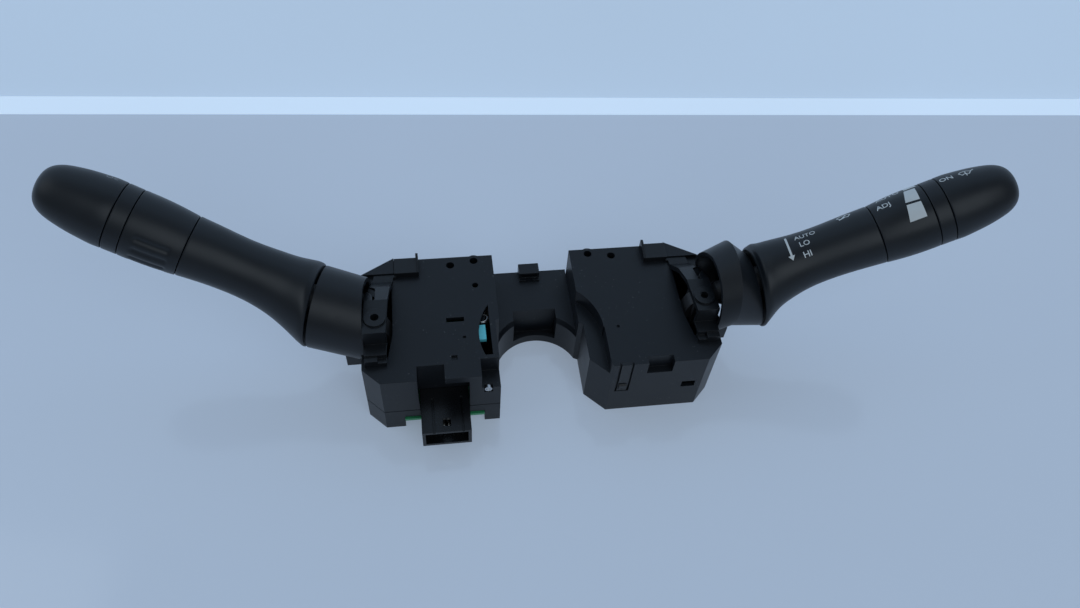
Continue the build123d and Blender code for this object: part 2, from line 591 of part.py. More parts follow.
def detent_track(side):
    z0, z1 = 21.0 - PIVOT[2], TOP - WALL - PIVOT[2]
    t = post(0, 0, DETENT_R + 3.0, z0, z1) - post(0, 0, DETENT_R, z0 - 1, z1 + 1)
    t &= prism([(-12, 0), (-40, -17), (-40, 17)], z0, z1)
    for k in range(-2, 3):
        a = radians(180 + k * STEP[side])
        t -= post((DETENT_R - 0.6) * cos(a), (DETENT_R - 0.6) * sin(a), 1.3, z0 - 1, z1 + 1)
    return swing(side, AZ_NEUTRAL) * t


for side, name in SIDES:
    save(detent_track(side), f"{SWITCH[side]}_detent_track")

# ---------------------------------------------------------------- cancelling pawl
px, py = -PAWL_XY[0], PAWL_XY[1]
HUB_TOP, PAWL_TOP = 34.5, TOP - WALL - 0.4
pawl = post(px, py, 3.2, 29.8, HUB_TOP) + box(px - 2.4, px + 0.8, py - 6, py, 31.0, HUB_TOP)
pawl += box(-30.0, -26.3, 1.0, 7.6, 31.0, PAWL_TOP - 2.0)
pawl -= post(px, py, PAWL_PIN_R + RUN, 20, 45)
save(pawl, "cancel_pawl")
save(box(-30.4, -26.3, -0.8, 7.6, PAWL_TOP - 2.0, PAWL_TOP), "cancel_pad")
wind = Pos(px, py, HUB_TOP + 0.34) * coil(2.3, 0.35, 1.6, 2)
save(wind, "cancel_spring")

# ---------------------------------------------------------------- small fixings
tongue = box(34.4, 39.2, FRONT_Y - 0.2, FRONT_Y + 1.2, 24.9, TOP)
tongue += box(34.4, 39.2, FRONT_Y + 0.2, FRONT_Y + 1.2, 17.0, 24.9)
tongue += prism_x([(FRONT_Y + 0.2, 18.2), (FRONT_Y - 0.7, 20.4), (FRONT_Y - 0.7, 22.6),
                   (FRONT_Y + 0.2, 23.0)], 34.9, 38.7)
save(tongue, "cover_clip")

screws = []
for side, name in SIDES:
    for x, y in screw_places(side):
        s = post(x, y, SCREW_HEAD_R, 0.2, SCREW_HEAD_H) + post(x, y, SCREW_R, SCREW_HEAD_H - 0.2, 11.0)
        s -= box(x - 1.8, x + 1.8, y - 0.35, y + 0.35, 0, 0.9)
        s -= box(x - 0.35, x + 0.35, y - 1.8, y + 1.8, 0, 0.9)
        screws.append(flip(s, side))
save(Compound(screws), "cover_screws")

sx, sz = -27.25, 28.1
front_screw = Pos(sx, -21.5, sz) * Rot(90, 0, 0) * Cylinder(1.7, 1.6)
front_screw -= box(sx - 1.2, sx + 1.2, -23, -21.9, sz - 0.25, sz + 0.25)
front_screw -= box(sx - 0.25, sx + 0.25, -23, -21.9, sz - 1.2, sz + 1.2)
save(front_screw, "front_screw")
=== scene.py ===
# %% [markdown]
# # Combination stalk switch
# This lesson dresses a steering-column switch: a lamp stalk on the left, a wiper stalk on the
# right, and the black boxed housings between them. The shapes with real sizes come from the
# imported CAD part. Blender adds the finishes, the shaped skins of the stalks and the legends.
# We start by loading the part. Every object is in metres in the part's own frame: +Z runs along
# the column towards the driver, +X points to the wiper stalk.

# %% Load the part
import json
from math import cos, radians, sin, pi

import bmesh
import bpy
import numpy as np
from mathutils import Matrix, Vector


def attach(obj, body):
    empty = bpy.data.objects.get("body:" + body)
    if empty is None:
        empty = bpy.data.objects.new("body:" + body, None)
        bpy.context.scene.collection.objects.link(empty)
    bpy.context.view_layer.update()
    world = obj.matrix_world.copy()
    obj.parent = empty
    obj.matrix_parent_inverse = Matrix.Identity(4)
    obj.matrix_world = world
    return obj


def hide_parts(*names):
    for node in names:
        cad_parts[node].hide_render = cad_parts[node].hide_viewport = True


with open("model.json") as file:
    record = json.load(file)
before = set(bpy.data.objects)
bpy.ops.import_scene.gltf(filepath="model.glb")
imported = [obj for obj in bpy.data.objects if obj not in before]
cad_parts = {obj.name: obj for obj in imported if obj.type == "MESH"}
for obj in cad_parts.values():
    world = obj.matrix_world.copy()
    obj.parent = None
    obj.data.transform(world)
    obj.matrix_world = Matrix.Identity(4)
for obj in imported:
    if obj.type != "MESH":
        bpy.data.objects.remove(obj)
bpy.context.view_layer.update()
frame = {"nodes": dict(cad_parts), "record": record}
MM = 0.001

# %% [markdown]
# ## The camera
# A camera in Blender looks along its own -Z, with +Y up in the picture. Its matrix therefore has
# the picture's right, up and backward directions as columns, and its place as the last column.
# The lens is given for a 36 mm wide sensor.

# %% Camera
VIEW_PLACE = Vector((-49.1, -229.9, 376.1)) * MM
VIEW_RIGHT = Vector((0.9906, -0.12473, 0.05618))
VIEW_DOWN = Vector((-0.06708, -0.80082, -0.59514))
LENS_MM, SENSOR_MM = 29.03, 36.0

right_dir = VIEW_RIGHT.normalized()
back_dir = right_dir.cross(-VIEW_DOWN).normalized()
up_dir = back_dir.cross(right_dir).normalized()
cam_data = bpy.data.cameras.new("camera")
cam_data.lens, cam_data.sensor_width = LENS_MM, SENSOR_MM
cam_data.clip_start, cam_data.clip_end = 0.01, 20.0
camera = bpy.data.objects.new("camera", cam_data)
camera.matrix_world = Matrix.Translation(VIEW_PLACE) @ Matrix(
    (right_dir, up_dir, back_dir)).transposed().to_4x4()
bpy.context.scene.collection.objects.link(camera)
bpy.context.scene.camera = camera
bpy.context.scene.view_settings.view_transform = "Standard"
print("camera looks along", [round(-v, 3) for v in back_dir])

# %% [markdown]
# ## Shader maths as Python
# A material is a graph of nodes. Writing it by hand is long, so one small class wraps a socket.
# Adding or multiplying two wrapped sockets puts a Math node between them, and one method adds
# any other node: first its settings, then the values or links of its inputs.


# %% Socket wrapper
class Wire:
    """A node's output socket that takes part in Python arithmetic."""

    def __init__(self, tree, socket):
        self.tree, self.socket = tree, socket

    def math(self, operation, a, b):
        return Shader.add(self.tree, "ShaderNodeMath", {"operation": operation}, {0: a, 1: b})

    def __add__(self, other):
        return self.math("ADD", self, other)

    def __sub__(self, other):
        return self.math("SUBTRACT", self, other)

    def __rsub__(self, other):
        return self.math("SUBTRACT", other, self)

    def __mul__(self, other):
        return self.math("MULTIPLY", self, other)

    def above(self, limit):
        return self.math("GREATER_THAN", self, limit)

    __radd__, __rmul__ = __add__, __mul__


class Shader:
    def __init__(self, name):
        self.material = bpy.data.materials.new(name)
        self.material.use_nodes = True
        self.tree = self.material.node_tree
        self.tree.nodes.clear()

    @staticmethod
    def add(tree, kind, settings=None, inputs=None, output=0):
        node = tree.nodes.new(kind)
        for key, value in (settings or {}).items():
            setattr(node, key, value)
        for key, value in (inputs or {}).items():
            target = node.inputs[key]
            if isinstance(value, Wire):
                tree.links.new(value.socket, target)
            else:
                target.default_value = value
        return Wire(tree, node.outputs[output])

    def node(self, kind, settings=None, inputs=None, output=0):
        return Shader.add(self.tree, kind, settings, inputs, output)

    def place(self):
        """Where a point of the surface lies, in the object's own metres."""
        return self.node("ShaderNodeTexCoord", output="Object")

    def noise(self, size, detail=2.0, rough=0.5, at=None):
        """Soft random pattern, 0 to 1, whose blobs are about size metres across."""
        return self.node("ShaderNodeTexNoise", None, {
            "Vector": at or self.place(), "Scale": 1.0 / size, "Detail": detail,
            "Roughness": rough})

    def between(self, mask, low, high):
        """Number that goes from low to high as the mask goes from 0 to 1."""
        return mask * (high - low) + low

    def colours(self, mask, first, second):
        return self.node("ShaderNodeMix", {"data_type": "RGBA", "clamp_factor": True}, {
            0: mask, 6: (*first, 1.0), 7: (*second, 1.0)}, output=2)

    def over(self, mask, below, above):
        """One colour wire laid over another where the mask is 1."""
        return self.node("ShaderNodeMix", {"data_type": "RGBA", "clamp_factor": True}, {
            0: mask, 6: below, 7: above}, output=2)

    def ridge(self, height, depth, normal=None):
        """Bump whose full height is depth metres."""
        inputs = {"Height": height, "Distance": depth, "Strength": 1.0}
        if normal:
            inputs["Normal"] = normal
        return self.node("ShaderNodeBump", None, inputs)

    def finish(self, **inputs):
        named = {k.replace("_", " "): v for k, v in inputs.items()}
        surface = self.node("ShaderNodeBsdfPrincipled", None, named, output="BSDF")
        output = self.tree.nodes.new("ShaderNodeOutputMaterial")
        self.tree.links.new(surface.socket, output.inputs["Surface"])
        return self.material


print("shader helper ready")

# %% [markdown]
# ## Moulded plastics
# Nearly everything here is injection-moulded and black, so the finishes differ in small ways:
# how glossy, how bluish, and how coarse the spark-eroded grain of the mould is. Each plastic has
# a fine grain as bump and a broad cloud that shifts its gloss as handling does; the housing and
# cover also get pale dust that settles in specks. A bevel node rounds the normals at edges, as no moulded
# edge is razor sharp.


# %% Plastic recipe
def plastic(name, colour, shine, grain, grain_depth, cloud=0.25, dust=0.0, edge=0.25,
            specular=0.32):
    """Moulded plastic. shine is roughness, grain its blob size in mm, depth in mm too."""
    s = Shader(name)
    handling = s.noise(22 * MM, 3.0, 0.55)
    fine = s.noise(grain * MM, 2.0, 0.6)
    pale = tuple(min(1.0, c * 1.5 + 0.001) for c in colour)
    base = s.colours(s.between(handling, -cloud, 1.0 - cloud) + fine * 0.25, colour, pale)
    if dust:
        specks = s.noise(1.1 * MM, 1.0, 0.4).above(0.74) * s.noise(9 * MM, 2.0).above(0.5)
        base = s.over(specks * dust, base, s.colours(0.0, (0.30, 0.31, 0.32), (0.3, 0.3, 0.3)))
    rough = s.between(handling, shine - 0.07, shine + 0.09) + fine * 0.06
    eased = s.node("ShaderNodeBevel", {"samples": 4}, {"Radius": edge * MM})
    return s.finish(Base_Color=base, Roughness=rough, Specular_IOR_Level=specular,
                    Normal=s.ridge(fine, grain_depth * MM, eased))


housing_black = plastic("housing_black", (0.0036, 0.0052, 0.0078), 0.36, 0.45, 0.009, dust=0.12)
cover_black = plastic("cover_black", (0.0034, 0.0048, 0.0070), 0.33, 0.5, 0.008, dust=0.1)
bracket_black = plastic("bracket_black", (0.0040, 0.0052, 0.0070), 0.27, 0.6, 0.008)
stalk_black = plastic("stalk_black", (0.0060, 0.0082, 0.0112), 0.36, 0.35, 0.009, cloud=0.3)
collar_black = plastic("collar_black", (0.0055, 0.0072, 0.0098), 0.34, 0.4, 0.009)
socket_black = plastic("socket_black", (0.0030, 0.0036, 0.0046), 0.24, 0.8, 0.004)
gear_grey = plastic("gear_grey", (0.022, 0.023, 0.026), 0.40, 0.9, 0.008)
pawl_cyan = plastic("pawl_cyan", (0.10, 0.50, 0.58), 0.34, 0.8, 0.008, specular=0.5)
legend_grey = plastic("legend_grey", (0.46, 0.49, 0.50), 0.55, 0.3, 0.006, edge=0.02)
legend_faint = plastic("legend_faint", (0.20, 0.21, 0.23), 0.55, 0.3, 0.006, edge=0.02)
print("plastics ready")

# %% [markdown]
# ## Metal, board and cable
# The steel parts are zinc plated: bright, with faint streaks. The circuit board is green
# laminate with a slightly lighter weave, and the flat cable carries parallel copper strips.


# %% Metal, board and cable
def plated(name, colour, shine):
    s = Shader(name)
    streak = s.noise(3 * MM, 4.0, 0.7)
    return s.finish(
        Base_Color=s.colours(streak, colour, tuple(c * 0.7 for c in colour)), Metallic=1.0,
        Roughness=s.between(streak, shine - 0.08, shine + 0.12),
        Normal=s.ridge(s.noise(0.5 * MM), 0.006 * MM))


def laminate(name, first, second, pitch):
    """Board with glass cloth showing through: two crossed sets of waves."""
    s = Shader(name)
    waves = [s.node("ShaderNodeTexWave", {"wave_type": "BANDS", "bands_direction": axis},
                    {"Vector": s.place(), "Scale": 0.31 / (pitch * MM), "Distortion": 0.4},
                    output="Fac") for axis in ("X", "Y")]
    weave = waves[0] * waves[1]
    return s.finish(Base_Color=s.colours(weave, first, second), Roughness=s.between(weave, 0.3, 0.4),
                    Normal=s.ridge(weave, 0.01 * MM))


steel = plated("plated_steel", (0.62, 0.63, 0.65), 0.32)
tin = plated("tinned_contact", (0.75, 0.74, 0.70), 0.25)
board_green = laminate("board_green", (0.02, 0.20, 0.08), (0.05, 0.33, 0.14), 0.8)
contact_brown = laminate("contact_brown", (0.16, 0.09, 0.035), (0.24, 0.14, 0.06), 0.8)
cable_white = laminate("cable_white", (0.55, 0.54, 0.50), (0.50, 0.28, 0.13), 1.3)

FINISH = {"housing_plastic": housing_black, "cover_plastic": cover_black,
          "bracket_plastic": bracket_black, "stalk_plastic": stalk_black,
          "collar_plastic": collar_black, "connector_plastic": socket_black,
          "mechanism_plastic": gear_grey, "pawl_plastic": pawl_cyan,
          "board": board_green, "contact_plate": contact_brown, "tin": tin, "steel": steel,
          "cable": cable_white}
slot_of = {p["node"]: p["material_slot"] for p in frame["record"]["subparts"]}
for name, thing in frame["nodes"].items():
    thing.data.materials.clear()
    thing.data.materials.append(FINISH[slot_of[name]])
print("finishes on", len(slot_of), "nodes")

# %% [markdown]
# ## A stalk's own coordinates
# Both stalks are turned parts, so a point on one is easy to give as a distance along its axis,
# an angle round it and a radius. The axis starts at the pivot, rises 25.5 degrees from the base
# plane and is turned a little towards the top of the car. The angle counts from that upward
# side, over the face the driver sees, to the lower side.

# %% Stalk axes
PIVOT = np.array((77.0, 11.0, 39.5))
RISE = radians(25.5)
SIDE = {"left": (-1, radians(15.5)), "right": (1, radians(2.9))}
ROOT, TUBE_END, SLEEVE_END, RING_END, TIP = 27.44, 88.9, 113.3, 120.1, 152.1
SEAM_R, GRIP_R = 14.0, 15.1


def axes_of(which):
    """Pivot, axis, side towards the top of the car, and the upward side of one stalk."""
    sign, turn = SIDE[which]
    start = PIVOT * (sign, 1, 1)
    axis = np.array((sign * cos(RISE) * cos(turn), cos(RISE) * sin(turn), sin(RISE)))
    side = np.array((-sign * sin(turn), cos(turn), 0.0))
    side -= axis * (side @ axis)
    side /= np.linalg.norm(side)
    face = np.cross(axis, side)
    return start, axis, side, face * np.sign(face[2])


def on_stalk(which, along, angle, radius, up=0.0, tilt=0.0):
    """Points at those distances, angles and radii, as an array of x, y, z in metres:
    pivot + axis * along + face * up + (side * cos + leaning face * sin) * radius.
    A tilt, in radians, leans the whole ring over: leaning face = face * cos + axis * sin."""
    start, axis, side, face = axes_of(which)
    along, angle, radius, up, tilt = (np.asarray(v, float)[..., None]
                                      for v in (along, angle, radius, up, tilt))
    leaning = face * np.cos(tilt) + axis * np.sin(tilt)
    ring = side * np.cos(angle) + leaning * np.sin(angle)
    return (start + axis * along + face * up + ring * radius) * MM


print("left axis", np.round(axes_of("left")[1], 3), "right axis", np.round(axes_of("right")[1], 3))

# %% [markdown]
# ## Turning a profile
# A profile is a list of corners, each with its own small rounding. Carrying it round the stalk
# gives a grid of points: one direction follows the profile, the other goes round. The mesh is
# closed, because the profile either ends on the axis or comes back to where it began.

# %% Profiles and turned surfaces
def spline(knots_x, knots_y, x):
    """Natural cubic through the knots: solves for the second derivatives, then fills each
    span with the cubic that has them at both ends."""
    kx, ky = np.asarray(knots_x, float), np.asarray(knots_y, float)
    h, n = np.diff(kx), len(kx)
    m = np.eye(n)
    b = np.zeros(n)
    i = np.arange(1, n - 1)
    m[i, i - 1], m[i, i], m[i, i + 1] = h[i - 1], 2 * (h[i - 1] + h[i]), h[i]
    b[i] = 6 * ((ky[i + 1] - ky[i]) / h[i] - (ky[i] - ky[i - 1]) / h[i - 1])
    k = np.linalg.solve(m, b)
    j = np.clip(np.searchsorted(kx, x) - 1, 0, n - 2)
    left, right = kx[j + 1] - x, x - kx[j]
    return (k[j] * left ** 3 + k[j + 1] * right ** 3) / (6 * h[j]) + \
        (ky[j] / h[j] - k[j] * h[j] / 6) * left + (ky[j + 1] / h[j] - k[j + 1] * h[j] / 6) * right


def rounded(corners, steps=5):
    """Profile through corners given as (along, radius, rounding): each rounded corner becomes a
    quadratic curve from a point before it, pulled by the corner, to a point after it."""
    pts, out = np.array([c[:2] for c in corners], float), []
    for k, (_, _, r) in enumerate(corners):
        p = pts[k]
        if r == 0 or k in (0, len(corners) - 1):
            out.append(p[None])
            continue
        before, after = pts[k - 1] - p, pts[k + 1] - p
        cut = [min(r / np.linalg.norm(v), 0.45) for v in (before, after)]
        a, c = p + before * cut[0], p + after * cut[1]
        t = np.linspace(0, 1, steps)[:, None]
        out.append((1 - t) ** 2 * a + 2 * t * (1 - t) * p + t ** 2 * c)
    return np.vstack(out)


def placed(name, mesh, material, body):
    """Links a finished mesh as a piece in that material, riding on its body."""
    mesh.materials.append(material)
    piece = bpy.data.objects.new(name, mesh)
    bpy.context.scene.collection.objects.link(piece)
    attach(piece, body)
    return piece


def mesh_piece(name, points, faces, material, body, sharp=40):
    """Puts arrays of points and faces into a mesh, and lets the piece ride on its body."""
    mesh = bpy.data.meshes.new(name)
    mesh.from_pydata(points.reshape(-1, 3).tolist(), [], faces)
    bm = bmesh.new()
    bm.from_mesh(mesh)
    bmesh.ops.remove_doubles(bm, verts=bm.verts, dist=1e-7)
    bmesh.ops.recalc_face_normals(bm, faces=bm.faces)
    bm.to_mesh(mesh)
    bm.free()
    mesh.polygons.foreach_set("use_smooth", np.ones(len(mesh.polygons), bool))
    mesh.set_sharp_from_angle(angle=radians(sharp))
    return placed(name, mesh, material, body)


def grid_faces(rows, columns, close_rows=False):
    """Quads of a grid that is closed in the column direction."""
    r = np.arange(rows if close_rows else rows - 1)
    i, j = np.meshgrid(r, np.arange(columns), indexing="ij")
    i2, j2 = (i + 1) % rows, (j + 1) % columns
    quads = np.stack((i * columns + j, i * columns + j2, i2 * columns + j2, i2 * columns + j), -1)
    return quads.reshape(-1, 4).tolist()


def turned(name, which, profile, material, body, shape=None, around=160):
    """Surface of revolution on a stalk. shape, if given, changes the radius over the grid of
    distances and angles. A profile's third and fourth columns are the rise of each ring's
    middle and its tilt."""
    angle = np.linspace(0, 2 * pi, around, endpoint=False)[None]
    columns = [profile[:, i:i + 1] for i in range(profile.shape[1])]
    along, angle = np.broadcast_arrays(columns[0], angle)
    radius = np.broadcast_to(columns[1], angle.shape)
    if shape:
        radius = shape(along, angle, radius)
    points = on_stalk(which, along, angle, radius, *columns[2:])
    closed = profile[0, 1] > 0
    return mesh_piece(name, points, grid_faces(len(profile), around, closed), material, body)


print("profile tools ready")

# %% [markdown]
# ## The lever skins
# A lever is a hollow moulding: wide at its root, where it cups over the collar's dome, slim in
# the middle, and a little wider again where the turning sleeve begins. Its rim leans downwards,
# so a plain lathe can't do it. Instead each ring has its own middle and tilt, and a cubic
# through a few rings gives the ones between.

# %% Levers
WALL, CORE_R, GAP = 2.4, 8.05, 0.15
LIP_R, LIP_DEEP = 18.95, 1.15          # inner edge of the rim, and how far it is rounded over
# distance from the root, middle above the axis, tilt in degrees, radius
LEVER_RINGS = {
    "left": ((2.0, -5.10, 17.1, 19.70), (3.4, -4.55, 15.1, 19.40), (5.2, -3.85, 12.2, 18.85),
             (8.2, -2.7, 7.0, 17.75), (12.2, -1.6, 2.5, 16.42), (16.2, -0.9, 0.6, 15.32),
             (24.2, 0.2, 0.0, 13.92), (32.2, 0.6, 0.0, 13.12), (40.0, 0.7, 0.0, 12.92),
             (50.0, 0.75, 0.0, 13.27), (61.46, 0.2, 0.0, 13.97)),
    "right": ((1.8, -5.60, 14.0, 19.70), (3.2, -4.40, 12.2, 19.25), (4.9, -3.0, 9.7, 18.6),
              (8.2, -1.2, 5.5, 16.98), (12.2, 0.2, 2.2, 15.72), (16.2, 0.9, 0.5, 14.88),
              (24.2, 1.45, 0.0, 13.62), (32.2, 1.5, 0.0, 13.08), (40.0, 1.4, 0.0, 13.08),
              (50.0, 1.05, 0.0, 13.47), (61.46, 0.2, 0.0, 13.97))}


def lever_ring(which, way, inset=0.0):
    """Rings of the outer surface at these distances from the root, as profile rows."""
    at, up, tilt, radius = np.array(LEVER_RINGS[which]).T
    way = np.asarray(way, float)
    return np.stack((ROOT + way, spline(at, radius, way) - inset, spline(at, up, way),
                     np.radians(spline(at, tilt, way))), 1)


def lever_profile(which):
    """Outer rings, end wall and hollow of a lever as one closed loop of rings."""
    first, last = LEVER_RINGS[which][0][0], TUBE_END - ROOT - GAP
    outer = lever_ring(which, np.linspace(first, last - 0.5, 76))
    end = lever_ring(which, [last - 0.3, last - 0.08, last, last])
    end[:, 1] -= (0.04, 0.2, 0.5, end[3, 1] - CORE_R)
    floor = lever_ring(which, [last - 4.0, last - 4.0])
    floor[:, 1] = CORE_R, 11.0
    hollow = lever_ring(which, np.linspace(last - 4.4, first + 3.4, 30), WALL)
    lip = np.repeat(lever_ring(which, [first]), 5, 0)
    back = np.array((1.0, 1.0, 0.85, 0.55, 0.25)) * LIP_DEEP
    lip[:, 0] -= back
    lip[:, 2] -= 0.3 * back
    lip[:, 3] += radians(0.6) * back
    lip[:, 1] = LIP_R, lip[0, 1] - 0.5, lip[0, 1] - 0.24, lip[0, 1] - 0.06, lip[0, 1] - 0.01
    return np.vstack((outer, end, floor, hollow, lip))


for which, body in (("left", "left_stalk"), ("right", "right_stalk")):
    skin = turned(f"{which}_lever_skin", which, lever_profile(which), stalk_black, body)
    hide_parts(f"{which}_lever")
    print(skin.name, len(skin.data.vertices), "points")

# %% [markdown]
# ## Sleeves, rings and knobs
# Beyond the lever each stalk has a sleeve that turns, a narrow ring that stays still and a knob
# that turns. The seams between them are what the eye reads, so each edge is rounded by a few
# tenths of a millimetre and leaves a dark slit. The lamp stalk's sleeve has shallow finger
# grooves on its lower side.

# %% Sleeves, rings and knobs
GROOVE_AT, GROOVE_STEP, GROOVES = 147.0, 21.0, 5
GROOVE_DEPTH, GROOVE_WIDTH = 0.6, 2.6
GROOVE_R = 14.0                        # radius at which a groove's width is measured
BORE_SIDE = 12.5                       # surface nearer the axis than this is the bore, ungrooved
SWELL = 0.45
SHAFT_BACK, SHAFT_R = SLEEVE_END - 19, 4.0
KNOB_LINE = ((0.0, 15.12), (0.12, 15.17), (0.24, 14.85), (0.37, 14.4), (0.5, 13.8),
             (0.625, 13.0), (0.75, 11.95), (0.86, 10.35), (0.94, 8.0), (0.985, 4.7), (1.0, 0.0))


def band_profile(start, stop, r_start, r_stop, bore, swell=0.0):
    """Ring whose outer line swells a little between its rounded edges, bored through."""
    a, b = start + GAP, stop - GAP
    line = [(a, bore, 0), (a, r_start, 0.45), (b, r_stop, 0.45), (b, bore, 0)]
    steps = np.linspace(0.02, 0.98, 40)
    outer = np.stack((a + (b - a) * steps,
                      r_start + (r_stop - r_start) * steps + swell * np.sin(pi * steps)), 1)
    ends = rounded(line)
    half = len(ends) // 2
    return np.vstack((ends[:half], outer[2:-2], ends[half:]))


def finger_grooves(along, angle, radius):
    """Radius less a row of round-bottomed grooves: each is the depth times a bell in the angle
    times a smooth window along the sleeve."""
    way = (along - TUBE_END) / (SLEEVE_END - TUBE_END)
    window = np.clip((way - 0.17) / 0.05, 0, 1) * np.clip((0.82 - way) / 0.05, 0, 1)
    centres = np.radians(GROOVE_AT + GROOVE_STEP * np.arange(GROOVES))
    off = (angle[..., None] - centres + pi) % (2 * pi) - pi
    bell = np.exp(-((off * GROOVE_R) / (GROOVE_WIDTH / 2)) ** 2).sum(-1)
    return radius - GROOVE_DEPTH * bell * window * (radius > BORE_SIDE)


def knob_radius(along):
    """Radius of a knob: a cubic in the root of what is left of its length, so that the end is
    blunt and the line still meets the axis squarely."""
    way, rad = np.array(KNOB_LINE).T
    left = (TIP - np.asarray(along)) / (TIP - RING_END - GAP)
    return spline(np.sqrt(1 - way)[::-1], rad[::-1], np.sqrt(np.clip(left, 0, 1)))


def knob_profile():
    """Shaft, back face and domed end of a knob, from axis to axis."""
    start = RING_END + GAP
    dome = TIP - (TIP - start) * np.linspace(1, 0, 60) ** 2
    dome = np.stack((dome, knob_radius(dome)), 1)
    dome[-1, 1] = 0
    back = rounded([(SHAFT_BACK, 0, 0), (SHAFT_BACK, SHAFT_R, 0), (start, SHAFT_R, 0),
                    (start, dome[0, 1], 0.55), (*dome[3], 0)])[:-1]
    return np.vstack((back, dome[3:]))


STALK_NODES = {"left": ("fog_lamp_sleeve", "fog_sleeve", "lamp_knob", "lamp_knob", "left_stalk"),
               "right": ("rain_adjust_sleeve", "rain_sleeve", "rear_wiper_knob", "rear_knob",
                         "right_stalk")}
for which, (sleeve, sleeve_body, knob, knob_body, stalk) in STALK_NODES.items():
    shape = finger_grooves if which == "left" else None
    made = [
        turned(f"{sleeve}_skin", which, band_profile(TUBE_END, SLEEVE_END, SEAM_R, GRIP_R, CORE_R,
                                                        swell=SWELL),
               stalk_black, sleeve_body, shape, around=320),
        turned(f"{which}_ring_skin", which, band_profile(SLEEVE_END, RING_END, GRIP_R, GRIP_R, CORE_R),
               stalk_black, stalk),
        turned(f"{knob}_skin", which, knob_profile(), stalk_black, knob_body)]
    for piece, node in zip(made, (sleeve, f"{which}_index_ring", knob)):
        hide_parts(node)
    print(which, [p.name for p in made])

# %% [markdown]
# ## Legends
# The wiper stalk is printed in pale grey. Each mark is drawn flat, with x along the stalk and y
# up the letters, then cut into short edges, given a thickness and wrapped round the skin it sits
# on. A mark stands three hundredths of a millimetre proud, like screen-printed ink.

# %% Legends
INK, PROUD = 0.08, 0.03
LONGEST_EDGE = 0.9                       # edges of a mark longer than this are cut in two
BLOCK_AT, BLOCK_R_AT = 103.0, 105.0      # where the blocks are placed, and where their radius is read


def stroke(points, width):
    """Quads along a line of points, each width across."""
    pts = np.array(points, float)
    step = np.diff(pts, axis=0)
    off = np.stack((-step[:, 1], step[:, 0]), 1) / np.linalg.norm(step, axis=1)[:, None] * width / 2
    return [[a + o, b + o, b - o, a - o] for a, b, o in zip(pts[:-1], pts[1:], off)]


def letters(word, height):
    """Flat mesh of a word, its first letter's foot at the origin."""
    curve = bpy.data.curves.new(word, "FONT")
    curve.body, curve.size, curve.resolution_u = word, height * 1.37, 3
    curve.offset = height * 0.012
    thing = bpy.data.objects.new(word, curve)
    mesh = bpy.data.meshes.new_from_object(thing)
    bpy.data.objects.remove(thing)
    return mesh


def skin_radius(which, along):
    """Radius and rise of the skin at these distances along a stalk."""
    way = np.clip((along - TUBE_END) / (SLEEVE_END - TUBE_END), 0, 1)
    sleeve = SEAM_R + (GRIP_R - SEAM_R) * way + SWELL * np.sin(pi * way)
    lever = lever_ring(which, along - ROOT)
    radius = np.where(along < TUBE_END, lever[:, 1],
                      np.where(along < RING_END, sleeve, knob_radius(along)))
    return radius, np.where(along < TUBE_END, lever[:, 2], 0.0)


def wrapped(name, which, flat, along, angle, body, material):
    """Prints a flat drawing in millimetres, its origin at that distance and angle."""
    bm = bmesh.new()
    if isinstance(flat, bpy.types.Mesh):
        bm.from_mesh(flat)
        bpy.data.meshes.remove(flat)
    else:
        for polygon in flat:
            bm.faces.new([bm.verts.new((*p, 0.0)) for p in polygon])
    bmesh.ops.remove_doubles(bm, verts=bm.verts, dist=0.002)
    bmesh.ops.triangulate(bm, faces=bm.faces)
    for _ in range(3):
        long = [e for e in bm.edges if e.calc_length() > LONGEST_EDGE]
        if long:
            bmesh.ops.subdivide_edges(bm, edges=long, cuts=1)
            bmesh.ops.triangulate(bm, faces=bm.faces)
    copied = bmesh.ops.extrude_face_region(bm, geom=bm.faces[:], use_keep_orig=True)["geom"]
    for v in copied:
        if isinstance(v, bmesh.types.BMVert):
            v.co.z = -INK
    spots = np.array([v.co for v in bm.verts])
    height = spots[:, 2]
    s = along + spots[:, 0]
    mid_radius, _ = skin_radius(which, np.array([along + 2.0]))
    theta = radians(angle) - spots[:, 1] / mid_radius[0]
    radius, rise = skin_radius(which, s)
    wrapped_to = on_stalk(which, s, theta, radius + PROUD + height, rise)
    for v, co in zip(bm.verts, wrapped_to):
        v.co = co
    mesh = bpy.data.meshes.new(name)
    bmesh.ops.recalc_face_normals(bm, faces=bm.faces)
    bm.to_mesh(mesh)
    bm.free()
    return placed(name, mesh, material, body)


def arc(middle, radius, first, last, steps=7):
    """Points on a circle, angles in degrees."""
    a = np.radians(np.linspace(first, last, steps))
    return np.stack((middle[0] + radius * np.cos(a), middle[1] + radius * np.sin(a)), 1)


def windscreen(width, height):
    """Outline of a windscreen: two arcs joined by slanted sides."""
    top, low = arc((0, -3), 3 + height, 130, 50, 9), arc((0, -3), 3.0, 50, 130, 7)
    line = np.vstack((top, low, top[:1]))
    return line * (width / np.ptp(top[:, 0]), 1)


